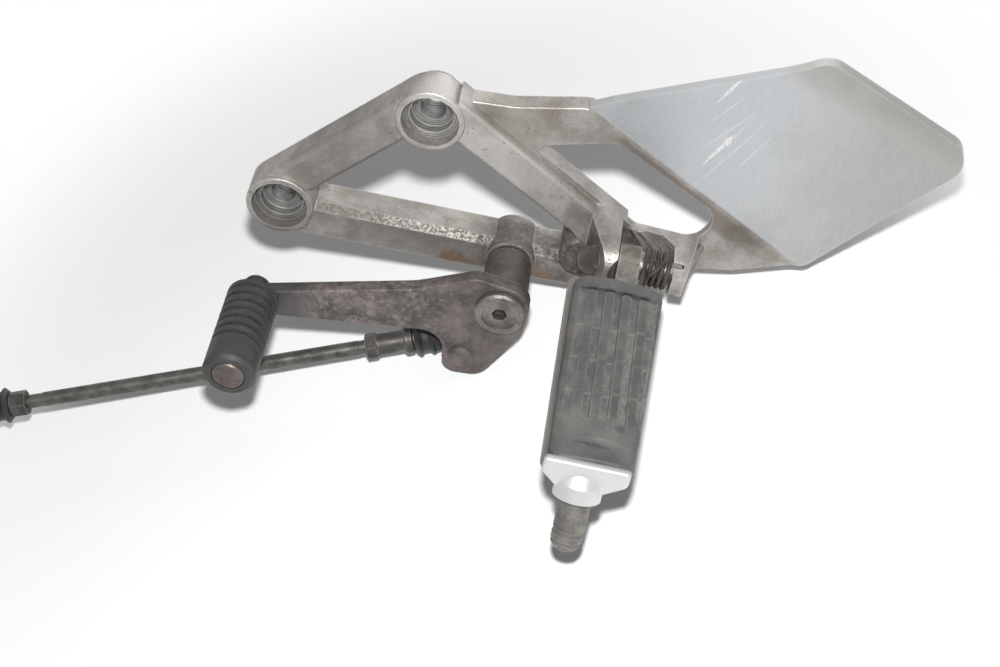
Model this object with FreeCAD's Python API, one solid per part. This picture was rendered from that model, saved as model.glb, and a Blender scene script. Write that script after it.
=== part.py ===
import FreeCAD, Part
import math
import os

V = FreeCAD.Vector

# frame bolts: the two holes lie on a slant about the origin, which is on the mounting face
bolt_dx = 56.4
bolt_dz = 60.2
bolt_hole_d = 11.0
seat_d = 24.0
seat_depth = 5.5
step_d = 18.0
step_depth = 4.0

# casting levels, measured outward from the mounting face
boss_out = 22.0
arm_out = 20.0
low_arm_out = 17.0
web_out = 15.0
web_back = 7.0
boss_back = 7.0
low_arm_back = 1.5
boss_wall = 2.4
arm_w = 17.4
low_arm_h = 16.6
arm_bevel = 3.0
pocket_wall = 4.0

# heel guard
guard_t = 4.5
fold_deg = 4.0
lip_r = 26.0
lip_deg = 40.0
lip_w = 11.6

# shift lever
pivot_x = 71.9
pivot_z = -35.5
shoulder_d = 14.0
tube_d = 19.4
tube_end_d = 21.0
tube_len = 28.0
collar_d = 21.0
collar_out = 21.0
seal_t = 1.6
lever_t = 6.0
toe_reach = 102.2
toe_drop = 20.0
toe_d = 22.0
toe_len = 47.5
toe_pin_d = 9.0
toe_head_d = 13.5
lug_dx = -12.2
lug_dz = -29.8
pivot_thread_d = 8.0
head_d = 21.4
head_t = 2.6
socket_af = 6.0
stud_d = 7.0
toe_grooves = 7
toe_head_t = 2.0
toe_gap = 1.0

# linkage
ball_d = 10.0
ball_back = 10.0
rod_d = 6.4
thread_d = 6.0
link_len = 224.0
link_slope_deg = 19.2
link_splay_deg = 10.5
nut_af = 10.0
nut_t = 5.0
front_nut_t = 7.0
cup_d = 16.0

# footpeg
pin_out = 32.5
pin_z = -12.0
pin_d = 8.0
ear_r = 9.2
ear_front_x = 101.5
clevis_x = 114.5
clevis_gap = 23.5
ear_rear_t = 9.0
peg_x = 116.0
peg_w = 39.2
peg_root = 50.0
peg_len = 102.5
peg_taper = 4.5
tray_t = 4.5
tread_w = 37.0
tread_h = 5.6
tread_up = 6.0
tread_bars = 4
bar_pitch = 7.1
groove_w = 2.9
tread_depth = 2.5
feeler_d = 12.4
feeler_len = 32.5
feeler_tilt = 25.0
feeler_thread = 8.0
feeler_wall = 3.1
spring_wire = 1.8
gusset_drop = 10.0
gusset_up = 2.5
pin_set = 5.7
pin_blind = 4.5
tongue_w = 9.0
fan_r = 1.5
web_thin = 4.0
tread_shift = 0.9
tray_lead = 2.5

# clearances
running = 0.05
assembly = 0.1
side_gap = 0.5
spring_seat = 0.4

bolt_x = bolt_dx / 2
bolt_z = bolt_dz / 2
boss_r = seat_d / 2 + boss_wall
tube_in = collar_out + seal_t
tube_out = tube_in + tube_len
lever_out = tube_out + 1.4
head_in = lever_out + 0.3
toe_x = pivot_x - toe_reach
toe_z = pivot_z - toe_drop
ball_x = pivot_x + lug_dx
ball_z = pivot_z + lug_dz
ball_out = lever_out - lever_t - ball_back
ear_rear_x = clevis_x + clevis_gap
tongue_x0 = clevis_x + side_gap
tongue_x1 = tongue_x0 + tongue_w
coil_r = pin_d / 2 + 3.2
tread_x = peg_x + tread_shift
peg_end = peg_root + peg_len
tread_z = pin_z + tread_up
tray_z = tread_z - tread_h


def outline(corners):
    n = len(corners)
    cuts = []
    for i in range(n):
        x, z, r = corners[i]
        p = V(x, 0, z)
        before = V(corners[i - 1][0], 0, corners[i - 1][1]) - p
        after = V(corners[(i + 1) % n][0], 0, corners[(i + 1) % n][1]) - p
        before.normalize()
        after.normalize()
        half = before.getAngle(after) / 2
        t = r / math.tan(half)
        bisect = before + after
        bisect.normalize()
        mid = p + bisect * (r / math.sin(half) - r)
        cuts.append((p + before * t, mid, p + after * t, r))
    edges = []
    for i in range(n):
        start, mid, end, r = cuts[i]
        if r > 0:
            edges.append(Part.Arc(start, mid, end).toShape())
        following = cuts[(i + 1) % n][0]
        if end.distanceToPoint(following) > 0.001:
            edges.append(Part.makeLine(end, following))
    return Part.Face(Part.Wire(edges))


def plate(corners, out_back, out_front):
    face = outline(corners)
    face.translate(V(0, -out_back, 0))
    return face.extrude(V(0, out_back - out_front, 0))


def soften(solid, level, r):
    picked = [e for e in solid.Edges if all(abs(v.Y + level) < 0.001 for v in e.Vertexes)]
    return solid.makeFillet(r, picked)


def bevelled(solid, level, above, size):
    picked = [e for e in solid.Edges if all(abs(v.Y + level) < 0.001 and v.Z > above for v in e.Vertexes)]
    return solid.makeChamfer(size, picked)


def soft_plate(corners, out_back, out_front, r):
    return soften(plate(corners, out_back, out_front), out_front, r)


def drum(x, z, d, out_back, out_front):
    return Part.makeCylinder(d / 2, out_front - out_back, V(x, -out_back, z), V(0, -1, 0))


def bar_x(out, z, d, x0, x1):
    return Part.makeCylinder(d / 2, x1 - x0, V(x0, -out, z), V(1, 0, 0))


def hexagon(af, height):
    r = af / math.sqrt(3)
    points = [V(r * math.cos(math.pi * k / 3), r * math.sin(math.pi * k / 3), 0) for k in range(7)]
    return Part.Face(Part.makePolygon(points)).extrude(V(0, 0, height))


def turned(points):
    wire = Part.makePolygon([V(r, 0, h) for r, h in points] + [V(points[0][0], 0, points[0][1])])
    return Part.Face(wire).revolve(V(0, 0, 0), V(0, 0, 1), 360)


def outward(shape, x, out, z):
    shape.Placement = FreeCAD.Placement(V(x, -out, z), FreeCAD.Rotation(V(0, 0, 1), V(0, -1, 0)))
    return shape


def straight_arm(a, b, near, far, inset):
    u = V(b[0] - a[0], 0, b[1] - a[1])
    u.normalize()
    n = V(-u.z, 0, u.x)
    corners = []
    for end, side, along in ((a, far, inset), (b, far, -inset), (b, near, -inset), (a, near, inset)):
        corners.append((end[0] + n.x * side + u.x * along, end[1] + n.z * side + u.z * along, 0))
    return corners


# the three arms of the triangle, each a list of corners in the plane of the bracket
bolt_a = (-bolt_x, -bolt_z)
bolt_b = (bolt_x, bolt_z)
upper_arm = straight_arm(bolt_a, bolt_b, boss_r - arm_w, boss_r, 0)
upper_pocket = straight_arm(bolt_a, bolt_b, boss_r - arm_w + pocket_wall, boss_r - pocket_wall, boss_r + 4)
low_mid = pivot_z - 1.2
lower_arm = [
    (-bolt_x, low_mid - low_arm_h / 2 - 1, 0),
    (clevis_x, low_mid - low_arm_h / 2 + 1, 0),
    (clevis_x, low_mid + low_arm_h / 2, 0),
    (-bolt_x, low_mid + low_arm_h / 2 - 1.5, 0),
]
cross_arm = [
    (bolt_x + 6, bolt_z - 4.5, 0),
    (clevis_x - 20, pin_z - 0.5, 0),
    (clevis_x - 8, pin_z - 16, 6),
    (clevis_x - 0.5, pin_z - 12, 4),
    (clevis_x - 0.5, pin_z + 5.5, 4),
    (bolt_x + 10, bolt_z + 12.8, 0),
]
cross_pocket = [
    (bolt_x + 21, bolt_z - 7.5, 2),
    (clevis_x - 22, pin_z + 6.5, 2),
    (clevis_x - 18, pin_z + 14.5, 2),
    (bolt_x + 21, bolt_z + 1.5, 2),
]
crease_a = (90.8, 48.0)
crease_b = (189.5, -9.0)
guard_top = (177.1, 88.3)
guard_low = (246.4, 57.3)
web_edge = [
    (bolt_x + 4, bolt_z + 8, 0),
    (bolt_x + 14, bolt_z + 9.5, 6),
    (60.3, 41.0, 20),
    (87.2, 47.6, 0),
    (crease_a[0], crease_a[1], 0),
    (crease_b[0], crease_b[1], 0),
    (164.5, -19.5, 20),
    (ear_rear_x + ear_rear_t, pin_z - 11, 4),
    (ear_rear_x + ear_rear_t, pin_z - 17, 3),
    (clevis_x - 4, pin_z - 24, 3),
    (clevis_x - 16, pin_z - 5, 0),
]
thinned = [
    (116.0, -4.0, 0),
    (118.0, -15.0, 3),
    (148.0, -16.5, 6),
    (158.0, -4.0, 6),
    (157.0, 8.0, 0),
    (140.0, 8.0, 0),
]
slot = [
    (70.5, 24.0, 2.5),
    (104.5, 34.4, 8),
    (153.0, 7.5, 9),
    (145.5, -8.6, 9),
    (120.0, -7.6, 4),
]


def heel_guard():
    along = V(crease_b[0] - crease_a[0], 0, crease_b[1] - crease_a[1])
    along.normalize()
    across = V(-along.z, 0, along.x)
    fold = math.radians(fold_deg)
    tilt = across * math.cos(fold) + V(0, math.sin(fold), 0)
    inward = V(0, math.cos(fold), 0) - across * math.sin(fold)
    base = V(crease_a[0], -web_out, crease_a[1])
    level = V(0, guard_t, 0)
    under = inward * guard_t
    start = base - across * 4
    far = base + tilt * 140
    loop = [start, base, far, far + under, base + (level + under) * 0.5, start + level, start]
    flat = Part.Face(Part.makePolygon(loop))
    flat.translate(along * -160)
    flat = flat.extrude(along * 420)

    rim = V(guard_low[0] - guard_top[0], 0, guard_low[1] - guard_top[1])
    rim.normalize()
    a = rim.dot(along)
    b = rim.dot(across) / math.cos(fold)
    edge_dir = along * a + tilt * b
    edge_dir.normalize()
    beyond = edge_dir.cross(inward)
    corner = V(guard_top[0], 0, guard_top[1]) + V(rim.z, 0, -rim.x) * lip_w
    from_base = corner - V(base.x, 0, base.z)
    hinge = base + along * from_base.dot(along) + tilt * (from_base.dot(across) / math.cos(fold))

    def bent(angle, depth):
        centre = hinge + inward * lip_r
        r = lip_r - depth
        return centre + beyond * (r * math.sin(angle)) - inward * (r * math.cos(angle))

    curl = math.radians(lip_deg)
    edges = [
        Part.Arc(bent(0, 0), bent(curl / 2, 0), bent(curl, 0)).toShape(),
        Part.makeLine(bent(curl, 0), bent(curl, guard_t)),
        Part.Arc(bent(curl, guard_t), bent(curl / 2, guard_t), bent(0, guard_t)).toShape(),
        Part.makeLine(bent(0, guard_t), bent(0, 0)),
    ]
    lip = Part.Face(Part.Wire(edges))
    lip.translate(edge_dir * -60)
    lip = lip.extrude(edge_dir * 220)
    trim = Part.Face(Part.makePolygon([
        hinge - inward * 60,
        hinge - inward * 60 + beyond * 99,
        hinge + inward * 60 + beyond * 99,
        hinge + inward * 60,
        hinge - inward * 60,
    ]))
    trim.translate(edge_dir * -200)
    flat = flat.cut(trim.extrude(edge_dir * 500))
    edge = [
        (crease_a[0] - 2, crease_a[1] + 0.2, 0),
        (98.0, 53.2, 10),
        (guard_top[0], guard_top[1], 14),
        (guard_low[0], guard_low[1], 9),
        (193.0, -9.0, 5),
        (crease_b[0] - 4, crease_b[1] - 0.6, 0),
        (crease_b[0] - 8, crease_b[1] + 3, 0),
        (crease_a[0] + 1, crease_a[1] - 2.4, 0),
    ]
    return flat.fuse(lip).common(plate(edge, -25, 40)).removeSplitter()


def clevis_ear(x0, x1):
    profile = [
        V(x0, -web_back, pin_z + ear_r + 6),
        V(x0, -pin_out, pin_z + ear_r),
        V(x0, -pin_out, pin_z - ear_r),
        V(x0, -web_back, pin_z - ear_r - 5),
        V(x0, -web_back, pin_z + ear_r + 6),
    ]
    flank = Part.Face(Part.makePolygon(profile)).extrude(V(x1 - x0, 0, 0))
    return flank.fuse(bar_x(pin_out, pin_z, 2 * ear_r, x0, x1))


def ear_slopes():
    top = pin_out + ear_r + 1
    ridge = clevis_x - 4
    front = [V(ear_front_x - 6, -boss_out, 0), V(ear_front_x, -boss_out, 0), V(ridge, -top, 0)]
    front += [V(ear_front_x - 6, -top, 0), V(ear_front_x - 6, -boss_out, 0)]
    back = [V(ridge, -top, 0), V(clevis_x + 1, -top + 4.5, 0), V(clevis_x + 1, -top, 0), V(ridge, -top, 0)]
    cuts = []
    for loop in (front, back):
        cut = Part.Face(Part.makePolygon(loop)).extrude(V(0, 0, 80))
        cut.translate(V(0, 0, pin_z - 40))
        cuts.append(cut)
    return Part.makeCompound(cuts)


def fan_rib(low, high):
    start = V(low[0], -web_out - 0.2, low[1])
    along = V(high[0], -web_out - 0.2, high[1]) - start
    return Part.makeCylinder(fan_r, along.Length, start, along)


def bevel():
    x = ear_rear_x + ear_rear_t
    loop = [V(x + 0.2, -web_out - 3, -60), V(x + 9, -web_out - 3, -60), V(x + 9, -60, -60)]
    loop += [V(x - 7, -60, -60), V(x + 0.2, -web_out - 3, -60)]
    return Part.Face(Part.makePolygon(loop)).extrude(V(0, 0, 120))


def gusset(low, high, rise):
    u = V(high[0] - low[0], 0, high[1] - low[1])
    n = V(-u.z, 0, u.x)
    n.normalize()
    n = n * 1.5
    foot = V(low[0], -web_back, low[1])
    points = [foot, V(low[0], -web_out - 0.5, low[1]), V(high[0], -rise, high[1])]
    points += [V(high[0], -web_back, high[1]), foot]
    face = Part.Face(Part.makePolygon(points))
    face.translate(n * -1)
    return face.extrude(n * 2)


def bracket():
    body = soft_plate(upper_arm, boss_back, arm_out, 3.0)
    adds = [
        bevelled(plate(lower_arm, low_arm_back, low_arm_out), low_arm_out, low_mid, arm_bevel),
        soft_plate(cross_arm, boss_back, boss_out - 1, 2.0),
        soft_plate(web_edge, web_back, web_out, 0.8),
        heel_guard(),
        soften(drum(pivot_x, pivot_z, collar_d, low_arm_back, collar_out), collar_out, 0.8),
        soften(drum(ear_front_x - 0.5, pin_z - 13, 19.0, low_arm_back, boss_out - 1), boss_out - 1, 1.2),
        clevis_ear(ear_front_x, clevis_x).cut(ear_slopes()),
        fan_rib((tongue_x0 + 3.4, pin_z + 5), (tongue_x1 + 5, pin_z - 7)),
        fan_rib((tongue_x0 + 6.5, pin_z + 4.4), (tongue_x1 + 9, pin_z - 5)),
        clevis_ear(ear_rear_x, ear_rear_x + ear_rear_t).cut(bevel()),
        gusset((ear_rear_x - 5, pin_z + 4), (ear_rear_x + 2, pin_z + gusset_up - 0.5), pin_out - gusset_drop),
        gusset((ear_rear_x + 12, pin_z + 3), (ear_rear_x + ear_rear_t - 2, pin_z + 1), pin_out - 4),
    ]
    for sign in (-1, 1):
        boss = drum(sign * bolt_x, sign * bolt_z, 2 * boss_r, boss_back, boss_out)
        adds.append(soften(boss, boss_out, 0.8))
        adds.append(drum(sign * bolt_x, sign * bolt_z, 2 * (boss_r - 4.4), 0, boss_back + 2))
    body = body.multiFuse(adds)
    cuts = [
        plate(slot, -5, 60),
        plate(upper_pocket, 0, arm_out - 5),
        plate(cross_pocket, 0, boss_out - 6),
        drum(pivot_x, pivot_z, pivot_thread_d + 2 * assembly, -5, 60),
        bar_x(pin_out, pin_z, pin_d + 2 * assembly, 60, ear_rear_x + pin_blind),
        plate(thinned, -5, web_out - web_thin),
    ]
    left = (-bolt_x + boss_r + 4, pivot_x - collar_d / 2 - 4)
    right = (pivot_x + collar_d / 2 + 3, clevis_x - 24)
    for x0, x1 in (left, right):
        pocket = [
            (x0, low_mid - low_arm_h / 2 + pocket_wall, 0),
            (x1, low_mid - low_arm_h / 2 + pocket_wall, 0),
            (x1, low_mid + low_arm_h / 2 - pocket_wall, 0),
            (x0, low_mid + low_arm_h / 2 - pocket_wall, 0),
        ]
        cuts.append(plate(pocket, 0, low_arm_out - 5))
    for sign in (-1, 1):
        x = sign * bolt_x
        z = sign * bolt_z
        cuts.append(drum(x, z, bolt_hole_d, -5, 60))
        cuts.append(drum(x, z, seat_d, boss_out - seat_depth, 60))
        cuts.append(drum(x, z, step_d, boss_out - seat_depth - step_depth, 60))
    return body.cut(Part.makeCompound(cuts)).removeSplitter()


lever_edge = [
    (toe_x - 9, toe_z - 1, 6),
    (pivot_x - 36, pivot_z + 2.2, 40),
    (pivot_x - 12, pivot_z + 14.8, 10),
    (pivot_x + 12.5, pivot_z + 11, 10),
    (pivot_x + 10.5, pivot_z - 9, 12),
    (ball_x + 9.8, ball_z - 9.6, 8),
    (ball_x - 7.4, ball_z - 10, 7),
    (ball_x - 8.8, pivot_z - 18.4, 10),
    (toe_x - 8, toe_z - 12, 5),
]


def shift_lever():
    arm = soft_plate(lever_edge, lever_out - lever_t, lever_out, 1.2)
    tube = Part.makeCone(tube_d / 2, tube_end_d / 2, tube_len, V(pivot_x, -tube_in, pivot_z), V(0, -1, 0))
    body = arm.fuse(tube)
    cuts = [
        drum(pivot_x, pivot_z, shoulder_d + 2 * running, 0, 80),
        drum(pivot_x, pivot_z, tube_end_d + 0.6, tube_out, 80),
        drum(toe_x, toe_z, toe_pin_d + 2 * assembly, 0, 80),
        drum(ball_x, ball_z, stud_d + 2 * assembly, 0, 80),
    ]
    return body.cut(Part.makeCompound(cuts)).removeSplitter()


def toe_pin():
    r = toe_pin_d / 2
    top = toe_len + toe_head_t
    base = -lever_t - 0.8
    points = [(0, base), (r + 1, base), (r + 1, -lever_t - assembly), (r, -lever_t - assembly)]
    points += [(r, toe_len + assembly), (toe_head_d / 2, toe_len + assembly)]
    points += [(toe_head_d / 2, top - 0.6), (toe_head_d / 2 - 0.6, top), (0, top)]
    return outward(turned(points), toe_x, lever_out, toe_z)


def toe_rubber():
    r = toe_d / 2
    bore = toe_pin_d / 2 + assembly
    points = [(bore, toe_gap), (r - 1, toe_gap), (r, toe_gap + 1)]
    pitch = (toe_len - 14) / toe_grooves
    for k in range(toe_grooves):
        h = 4 + pitch * k
        points += [(r, h), (r - 1.5, h + 0.6), (r - 1.5, h + 1.5), (r, h + 2.1)]
    lip = toe_head_d / 2 + 0.3
    points += [(r, toe_len), (r - 1.6, toe_len + 1.5), (lip, toe_len + 1.5)]
    points += [(lip, toe_len), (bore, toe_len)]
    return outward(turned(points), toe_x, lever_out, toe_z)


def pivot_bolt():
    r = head_d / 2
    shank = shoulder_d / 2
    base = -collar_out + low_arm_back + 2
    rise = head_in - collar_out
    points = [(0, base), (pivot_thread_d / 2, base), (pivot_thread_d / 2, 0), (shank, 0), (shank, rise)]
    points += [(r, rise), (r, rise + head_t - 0.8), (r - 0.8, rise + head_t), (0, rise + head_t)]
    bolt = turned(points)
    recess = turned([(0, rise + head_t - 0.7), (r - 3, rise + head_t - 0.7), (r - 3, 99), (0, 99)])
    socket = hexagon(socket_af, 99)
    socket.translate(V(0, 0, rise + head_t - 5))
    return outward(bolt.cut(recess).cut(socket), pivot_x, collar_out, pivot_z)


def seal(start, thick):
    outer = tube_d / 2 - 0.2
    inner = shoulder_d / 2 + 0.35
    points = [(inner, 0), (outer - 0.3, 0), (outer, thick / 2), (outer - 0.3, thick), (inner, thick)]
    return outward(turned(points), pivot_x, start, pivot_z)


def rear_ball_stud():
    back = ball_back
    front = ball_back + lever_t
    neck = 2.5
    points = [(0, 0), (neck, 0), (neck, back - 2.6), (5.2, back - 2.6), (5.2, back - assembly)]
    points += [(stud_d / 2, back - assembly), (stud_d / 2, front + assembly), (5.4, front + assembly)]
    points += [(5.2, front + 1.2), (3.6, front + 2.2), (0, front + 2.4)]
    stud = turned(points).fuse(Part.makeSphere(ball_d / 2))
    return outward(stud.removeSplitter(), ball_x, ball_out, ball_z)


# the linkage is drawn along its own axis, which runs from the rear ball to the front one
slope = math.radians(link_slope_deg)
splay = math.radians(link_splay_deg)
link_dir = V(-math.cos(slope) * math.cos(splay), -math.sin(splay), -math.sin(slope) * math.cos(splay))
link_turn = FreeCAD.Rotation(V(0, 0, 1), V(0, 1, 0), link_dir, "ZYX")
link_place = FreeCAD.Placement(V(ball_x, -ball_out, ball_z), link_turn)
shank_d = rod_d + 2.8
rear_shank = 38.4
front_shank = 22.4
boot_start = cup_d / 2 + 2
rod_start = 20.0


def linked(shape):
    shape.Placement = link_place.multiply(shape.Placement)
    return shape


def joint_body(reach, collar):
    cup = Part.makeCylinder(cup_d / 2, 12.4, V(0, -5.2, 0), V(0, 1, 0))
    cup = cup.makeFillet(1.5, [e for e in cup.Edges if abs(e.CenterOfMass.y - 7.2) < 0.1])
    shank = Part.makeCylinder(shank_d / 2, reach - 4, V(0, 0, 4))
    body = cup.fuse(shank)
    if collar:
        rim = turned([(0, 22.4), (5.2, 22.4), (6.1, 23.2), (6.1, 26), (5.2, 26.8), (0, 26.8)])
        body = body.fuse(rim)
    socket = Part.makeSphere(ball_d / 2 + running)
    mouth = Part.makeCylinder(ball_d / 2 - 0.6, 20, V(0, 0, 0), V(0, -1, 0))
    bore = Part.makeCylinder(thread_d / 2 + assembly, 60, V(0, 0, cup_d / 2 + 2))
    return body.cut(socket.fuse(mouth)).cut(bore).removeSplitter()


def boot(length):
    bore = shank_d / 2 + assembly
    h = boot_start
    points = [(bore, h), (6.4, h), (6.9, h + 0.28 * length), (7.6, h + 0.38 * length)]
    points += [(6.3, h + 0.5 * length), (6.3, h + 0.72 * length), (7.8, h + 0.86 * length)]
    points += [(6.2, h + length), (bore, h + length)]
    return turned(points)


def lock_nut(start, thick):
    nut = hexagon(nut_af, thick)
    chamfer = turned([(0, 0), (nut_af / 2, 0), (nut_af * 0.6, 0.6), (nut_af * 0.6, thick - 0.6)]
                     + [(nut_af / 2, thick), (0, thick)])
    nut = nut.common(chamfer)
    nut = nut.cut(Part.makeCylinder(thread_d / 2 + assembly, thick, V(0, 0, 0)))
    nut.translate(V(0, 0, start))
    return nut


def link_rod():
    r = rod_d / 2
    t = thread_d / 2
    rear = rear_shank + nut_t + 3
    front = link_len - front_shank - front_nut_t - 7.5
    points = [(0, rod_start), (t, rod_start), (t, rear), (r, rear + 0.4), (r, front), (t, front + 0.4)]
    points += [(t, link_len - 12), (0, link_len - 12)]
    return turned(points)


def facing_rear(shape):
    shape.Placement = FreeCAD.Placement(V(0, 0, link_len), FreeCAD.Rotation(V(1, 0, 0), 180))
    return shape


def front_ball_stud():
    t = thread_d / 2
    points = [(0, 0), (2.5, 0), (2.5, 8.2), (5.4, 8.2), (5.4, 11), (t, 11), (t, 23.4), (t - 0.6, 24), (0, 24)]
    stud = turned(points).fuse(Part.makeSphere(ball_d / 2)).removeSplitter()
    flats = hexagon(nut_af - 0.6, 2.8)
    flats.translate(V(0, 0, 8.2))
    inner = turned([(0, -20), (20, -20), (20, 8.2), (0, 8.2)])
    keep = inner.fuse(turned([(0, 11), (20, 11), (20, 30), (0, 30)]))
    stud = stud.common(keep.fuse(flats)).removeSplitter()
    stud.Placement = FreeCAD.Placement(V(0, 0, link_len), FreeCAD.Rotation(V(0, 0, 1), V(0, 1, 0)))
    return stud


def side_profile(points, x0, x1):
    loop = [V(x0, -out, z) for out, z in points]
    return Part.Face(Part.makePolygon(loop + loop[:1])).extrude(V(x1 - x0, 0, 0))


def block(x0, x1, out0, out1, z0, z1):
    return Part.makeBox(x1 - x0, out1 - out0, z1 - z0, V(x0, -out1, z0))


def tray_block(half, out0, out1, z0, z1, r, x=peg_x, taper=0):
    loop = [V(x - half, -out0, z0), V(x + half, -out0, z0), V(x + half - taper, -out1, z0)]
    loop += [V(x - half, -out1, z0), V(x - half, -out0, z0)]
    box = Part.Face(Part.makePolygon(loop)).extrude(V(0, 0, z1 - z0))
    picked = [e for e in box.Edges if abs(e.Vertexes[0].Z - e.Vertexes[1].Z) > 1]
    return box.makeFillet(r, picked)


feeler_lean = math.radians(feeler_tilt)
feeler_dir = V(0, -math.sin(feeler_lean), -math.cos(feeler_lean))
feeler_at = V(peg_x - 3.4, -(peg_end - 3.0), tray_z - tray_t)
tongue_r = ear_r - 1.5
bolt_outs = (peg_root + 26, peg_end - 26)


def footpeg():
    low = tray_z - tray_t
    tray = tray_block(peg_w / 2, peg_root - tray_lead, peg_end + 0.6, low, tray_z, 5, peg_x, peg_taper)
    tongue = bar_x(pin_out, pin_z, 2 * tongue_r, tongue_x0, tongue_x1)
    heel = web_out + 0.4
    neck = [
        (pin_out, pin_z + tongue_r),
        (peg_root - 0.3, tray_z),
        (peg_root + 4, tray_z - 1),
        (peg_root + 4, low - 5),
        (pin_out + 4, low - 5),
        (heel, pin_z - tongue_r - 1.5),
        (heel, pin_z - 5),
        (pin_out, pin_z),
    ]
    adds = [tongue, side_profile(neck, tongue_x0, tongue_x1)]
    for side in (-1, 1):
        edge = peg_x + side * (peg_w / 2 - 8)
        rib = [(peg_root, low + 1), (peg_end - 8, low + 1), (peg_end - 14, low - 3), (peg_root + 6, low - 6)]
        adds.append(side_profile(rib, edge - 2, edge + 2))
    cap = [
        (peg_x - peg_w / 2 + 1, tread_z - 0.8, 1.5),
        (peg_x - peg_w / 2 + 1, low + 2, 3),
        (feeler_at.x - 9, low - 4.5, 4),
        (feeler_at.x + 9, low - 4.5, 4),
        (peg_x + peg_w / 2 - peg_taper - 1, low + 2, 3),
        (peg_x + peg_w / 2 - peg_taper - 1, tread_z - 0.8, 1.5),
    ]
    adds.append(soft_plate(cap, peg_end + 0.3, peg_end + 3.2, 1.2))
    boss_d = feeler_d + 2 * feeler_wall
    funnel = Part.makeCone(3.5, boss_d / 2, 13, feeler_at - feeler_dir * 9, feeler_dir)
    boss = funnel.fuse(Part.makeCylinder(boss_d / 2, 6, feeler_at + feeler_dir * 4, feeler_dir))
    adds.append(boss.common(block(0, 300, 0, 300, -90, tray_z - 0.5)))
    body = tray.multiFuse(adds)
    cuts = [bar_x(pin_out, pin_z, pin_d + 2 * running, 60, 200)]
    cuts.append(Part.makeCylinder(feeler_thread / 2 + assembly, 20, feeler_at - feeler_dir * 3.2, feeler_dir))
    for out in bolt_outs:
        cuts.append(Part.makeCylinder(thread_d / 2 + 0.3, 40, V(peg_x, -out, low - 10)))
    return body.cut(Part.makeCompound(cuts)).removeSplitter()


def peg_rubber():
    half = tread_w / 2
    z0 = tray_z
    z1 = tread_z - 2.0
    y = -peg_root
    left = V(tread_x - half, y, z1)
    right = V(tread_x + half, y, z1)
    edges = [
        Part.makeLine(V(tread_x + half, y, z0), V(tread_x - half, y, z0)),
        Part.makeLine(V(tread_x - half, y, z0), left),
        Part.Arc(left, V(tread_x, y, tread_z), right).toShape(),
        Part.makeLine(right, V(tread_x + half, y, z0)),
    ]
    body = Part.Face(Part.Wire(edges)).extrude(V(0, -peg_len, 0))
    keep = tray_block(half, peg_root, peg_end, z0 - 1, tread_z + 1, 6, tread_x, peg_taper)
    body = body.common(keep)
    body = body.makeFillet(1.6, [e for e in body.Edges if e.CenterOfMass.z > z1 - 0.3])
    tread0 = peg_root + 9
    tread1 = peg_root + 0.79 * peg_len
    floor = tread_z - tread_depth
    reach = (tread_bars * bar_pitch + groove_w) / 2
    field = tray_block(reach, tread0 - 1.6, tread1, floor, tread_z + 2, 0.3, tread_x, peg_taper / 2)
    bar_half = (bar_pitch - groove_w) / 2
    bars = []
    for k in range(tread_bars):
        x = tread_x + bar_pitch * (k - (tread_bars - 1) / 2)
        bars.append(tray_block(bar_half, tread0, tread1 + 5, floor - 1, tread_z + 3, bar_half - 0.2, x))
    dip_at = V(tread_x - 0.35 * tread_w, -(peg_end - 8.5), tread_z + 8.2)
    dip = Part.makeCylinder(9, 0.7 * tread_w, dip_at, V(1, 0, 0))
    cuts = [field.cut(Part.makeCompound(bars)), dip]
    for k in range(3):
        out = peg_root + 28.4 + 18.6 * k
        cuts.append(block(tread_x - 60, tread_x + 60, out, out + 0.9, tread_z - 2.2, tread_z + 2))
    cuts.append(plate_block(assembly))
    for out in bolt_outs:
        cuts.append(Part.makeCylinder(thread_d / 2 + 0.3, 4.4, V(peg_x, -out, tray_z - 1.6)))
    return body.cut(Part.makeCompound(cuts)).removeSplitter()


def plate_block(grow):
    half = tread_w / 2 - 5 + grow
    return tray_block(half, peg_root + 12 - grow, peg_end - 12 + grow, tray_z, tray_z + 1.6 + grow, 3)


def rubber_plate():
    body = plate_block(0)
    for out in bolt_outs:
        body = body.cut(Part.makeCylinder(thread_d / 2 + assembly, 20, V(peg_x, -out, tray_z - 5)))
    return body


def rubber_bolts():
    seat = tray_z - tray_t
    bolts = []
    for out in bolt_outs:
        head = hexagon(8.0, 4.0)
        head.translate(V(0, 0, -5.2))
        flange = Part.makeCylinder(6.0, 1.2, V(0, 0, -1.2))
        shank = Part.makeCylinder(thread_d / 2, tray_z + 2.6 - seat, V(0, 0, 0))
        bolt = head.fuse(flange).fuse(shank).removeSplitter()
        bolt.translate(V(peg_x, -out, seat - 0.05))
        bolts.append(bolt)
    return Part.makeCompound(bolts)


def feeler():
    r = feeler_d / 2
    t = feeler_thread / 2
    end = feeler_len
    points = [(0, -2.6), (t, -2.6), (t, 10.2), (r - 0.5, 10.2), (r, 10.7), (r, end - 9), (r - 0.7, end - 8.6)]
    points += [(r - 0.7, end - 7.6), (r, end - 7.2), (r, end - 5), (r - 0.7, end - 4.6), (r - 0.7, end - 3.8)]
    points += [(r - 0.2, end - 3.4), (r - 1.6, end - 1.2), (r - 3.4, end - 0.2), (0, end)]
    body = turned(points)
    body.Placement = FreeCAD.Placement(feeler_at, FreeCAD.Rotation(V(0, 0, 1), feeler_dir))
    return body


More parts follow.
